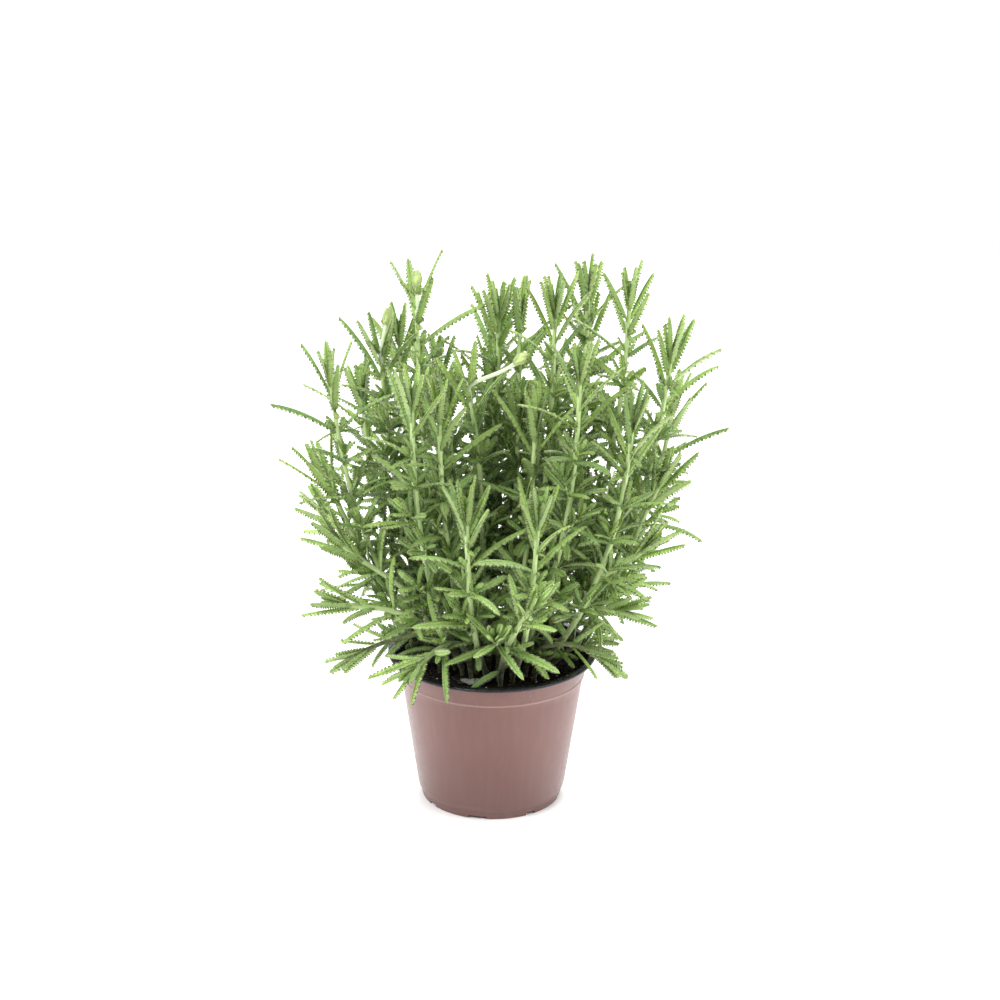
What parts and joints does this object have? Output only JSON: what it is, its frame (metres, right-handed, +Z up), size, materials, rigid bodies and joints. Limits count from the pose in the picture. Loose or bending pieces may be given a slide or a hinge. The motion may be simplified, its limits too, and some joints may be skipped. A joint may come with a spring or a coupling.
{
  "type": "potted lavender",
  "caption": "Bushy toothed-leaf lavender with young flower buds, in a round tapered nursery pot with a flat lip; it stands on its pot.",
  "frame": {"origin": "middle of the flat pad under the pot, on the surface it stands on", "axes": "+Z up, along the pot's axis; -Y is the front, +X is the right side seen from the front"},
  "size_m": [0.2496, 0.2249, 0.3191],
  "materials": {
    "pot_plastic": "semi-gloss two-layer plastic, brown outside and black inside and on the lip",
    "peat": "damp crumbly peat with white perlite",
    "foliage": "finely felted grey-green leaves with toothed edges and pale green stems",
    "bud": "pale yellow-green felted bracts",
    "withered_leaf": "dry, grey-brown, wrinkled"
  },
  "bodies": {
    "root": {"pot": "pot_plastic", "potting_soil": "peat", "dry_leaf": "withered_leaf", "flower_bud_1": "bud", "flower_bud_2": "bud", "flower_bud_3": "bud", "shoot_01": "foliage", "shoot_02": "foliage", "shoot_03": "foliage", "shoot_04": "foliage", "shoot_05": "foliage", "shoot_06": "foliage", "shoot_07": "foliage", "shoot_08": "foliage", "shoot_09": "foliage", "shoot_10": "foliage", "shoot_11": "foliage", "shoot_12": "foliage", "shoot_13": "foliage", "shoot_14": "foliage", "shoot_15": "foliage", "shoot_16": "foliage", "shoot_17": "foliage", "shoot_18": "foliage", "shoot_19": "foliage", "shoot_20": "foliage", "shoot_21": "foliage", "shoot_22": "foliage", "shoot_23": "foliage", "shoot_24": "foliage", "shoot_25": "foliage", "shoot_26": "foliage", "shoot_27": "foliage", "shoot_28": "foliage", "shoot_29": "foliage", "shoot_30": "foliage", "shoot_31": "foliage", "shoot_32": "foliage", "shoot_33": "foliage", "shoot_34": "foliage", "shoot_35": "foliage", "shoot_36": "foliage", "shoot_37": "foliage", "shoot_38": "foliage", "shoot_39": "foliage", "shoot_40": "foliage", "shoot_41": "foliage", "shoot_42": "foliage", "shoot_43": "foliage", "shoot_44": "foliage"}
  },
  "joints": []
}
